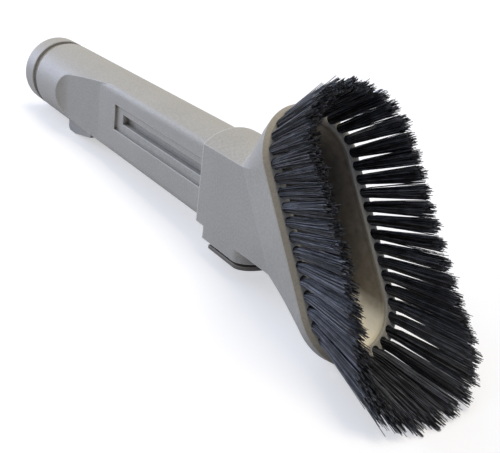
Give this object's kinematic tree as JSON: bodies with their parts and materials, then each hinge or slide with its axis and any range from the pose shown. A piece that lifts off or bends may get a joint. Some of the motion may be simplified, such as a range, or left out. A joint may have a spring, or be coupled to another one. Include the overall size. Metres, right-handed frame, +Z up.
{
  "type": "vacuum dusting brush",
  "caption": "Dusting brush for a vacuum hose: flat-sided nozzle tube, brush head that slides along it on side tracks, slanted oval rim of black bristles, rocking release button",
  "frame": {"origin": "centre of the mouth of the hose socket, on the axis of the tube", "axes": "+X runs forward along the tube to the brush, +Z is up, away from the release button, and the part is alike on both sides of the XZ plane"},
  "size_m": [0.2888, 0.0516, 0.0889],
  "materials": {
    "grey_abs": "fine moulded grain",
    "dark_abs": "fine moulded grain",
    "steel": "plain drawn wire",
    "black_nylon": "bristle filament"
  },
  "bodies": {
    "nozzle": {"nozzle_tube": "grey_abs"},
    "brush": {"brush_head": "grey_abs", "button_pivot_pin": "steel", "button_spring": "steel", "tuft_anchors": "steel", "tuft_01": "black_nylon", "tuft_02": "black_nylon", "tuft_03": "black_nylon", "tuft_04": "black_nylon", "tuft_05": "black_nylon", "tuft_06": "black_nylon", "tuft_07": "black_nylon", "tuft_08": "black_nylon", "tuft_09": "black_nylon", "tuft_10": "black_nylon", "tuft_11": "black_nylon", "tuft_12": "black_nylon", "tuft_13": "black_nylon", "tuft_14": "black_nylon", "tuft_15": "black_nylon", "tuft_16": "black_nylon", "tuft_17": "black_nylon", "tuft_18": "black_nylon", "tuft_19": "black_nylon", "tuft_20": "black_nylon", "tuft_21": "black_nylon", "tuft_22": "black_nylon", "tuft_23": "black_nylon", "tuft_24": "black_nylon", "tuft_25": "black_nylon", "tuft_26": "black_nylon", "tuft_27": "black_nylon", "tuft_28": "black_nylon", "tuft_29": "black_nylon", "tuft_30": "black_nylon", "tuft_31": "black_nylon", "tuft_32": "black_nylon", "tuft_33": "black_nylon", "tuft_34": "black_nylon", "tuft_35": "black_nylon", "tuft_36": "black_nylon", "tuft_37": "black_nylon", "tuft_38": "black_nylon", "tuft_39": "black_nylon", "tuft_40": "black_nylon", "tuft_41": "black_nylon", "tuft_42": "black_nylon", "tuft_43": "black_nylon"},
    "button": {"release_button": "dark_abs"}
  },
  "joints": [
    {"name": "brush_slide", "type": "slide", "parent": "nozzle", "child": "brush", "axis": [-1, 0, 0], "range_m": [0, 0.074]},
    {"name": "button_press", "type": "hinge", "parent": "brush", "child": "button", "pos_m": [0.193, 0, -0.0194], "axis": [0, -1, 0], "range_deg": [0, 6.5], "stiffness_Nm_per_rad": 0.15, "springref_deg": -8.59, "deforming": ["button_spring"]}
  ]
}
